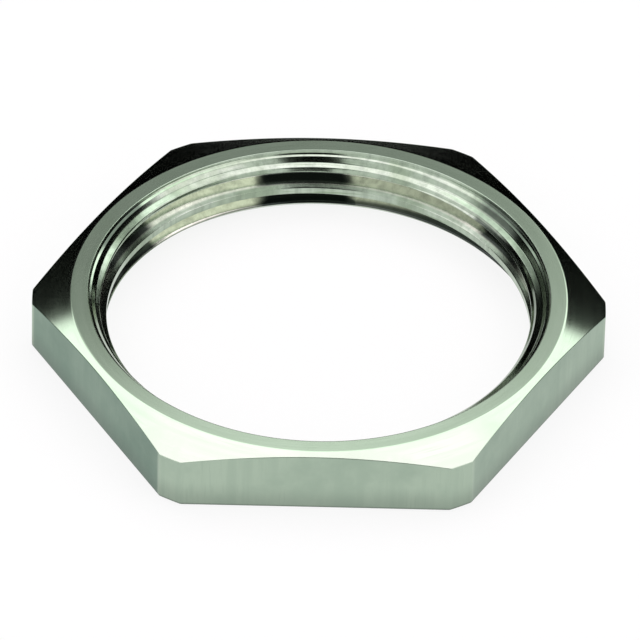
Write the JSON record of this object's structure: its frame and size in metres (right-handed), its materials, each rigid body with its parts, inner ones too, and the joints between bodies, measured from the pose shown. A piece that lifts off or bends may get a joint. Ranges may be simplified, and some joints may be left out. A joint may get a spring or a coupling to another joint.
{
  "type": "cable gland locknut",
  "caption": "Thin hexagonal locknut with an internal metric thread, bevelled on one face, that clamps a cable gland in a panel or box wall.",
  "frame": {"origin": "centre of the flat seating face, on the thread axis", "axes": "+Z along the thread axis from the seating face to the bevelled face; +X through a corner of the hexagon, +Y square to a flat"},
  "size_m": [0.0316, 0.028, 0.0037],
  "materials": {
    "nickel_plated_brass": "bright nickel plate, satin"
  },
  "bodies": {
    "root": {"locknut": "nickel_plated_brass"}
  },
  "joints": []
}
